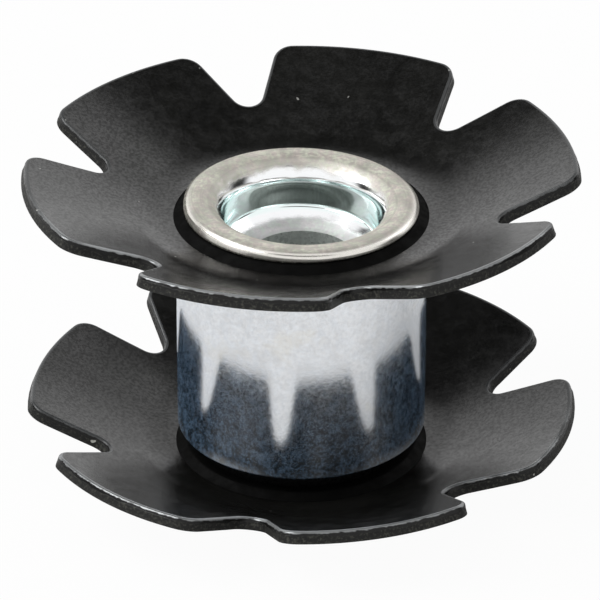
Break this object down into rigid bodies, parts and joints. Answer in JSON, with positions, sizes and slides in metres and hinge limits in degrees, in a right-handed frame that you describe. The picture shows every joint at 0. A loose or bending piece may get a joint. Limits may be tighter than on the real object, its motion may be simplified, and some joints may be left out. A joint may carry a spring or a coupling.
{
  "type": "star nut",
  "caption": "Headset star nut: dished, notched star washers of black spring steel riveted on a threaded sleeve, which grips inside a steerer tube.",
  "frame": {"origin": "centre of the sleeve's lower end face, which the part stands on", "axes": "+Z along the sleeve's axis, from the end that goes into the steerer first to the end where the top cap bolt enters; +X and +Y across it, with no feature of the sleeve to mark them"},
  "size_m": [0.0266, 0.0266, 0.0161],
  "materials": {
    "black_spring_steel": "satin black oxide on blanked spring steel",
    "zinc_plated_steel": "bright zinc plate over turned steel"
  },
  "bodies": {
    "root": {"lower_star_washer": "black_spring_steel", "threaded_sleeve": "zinc_plated_steel", "upper_star_washer": "black_spring_steel"}
  },
  "joints": []
}
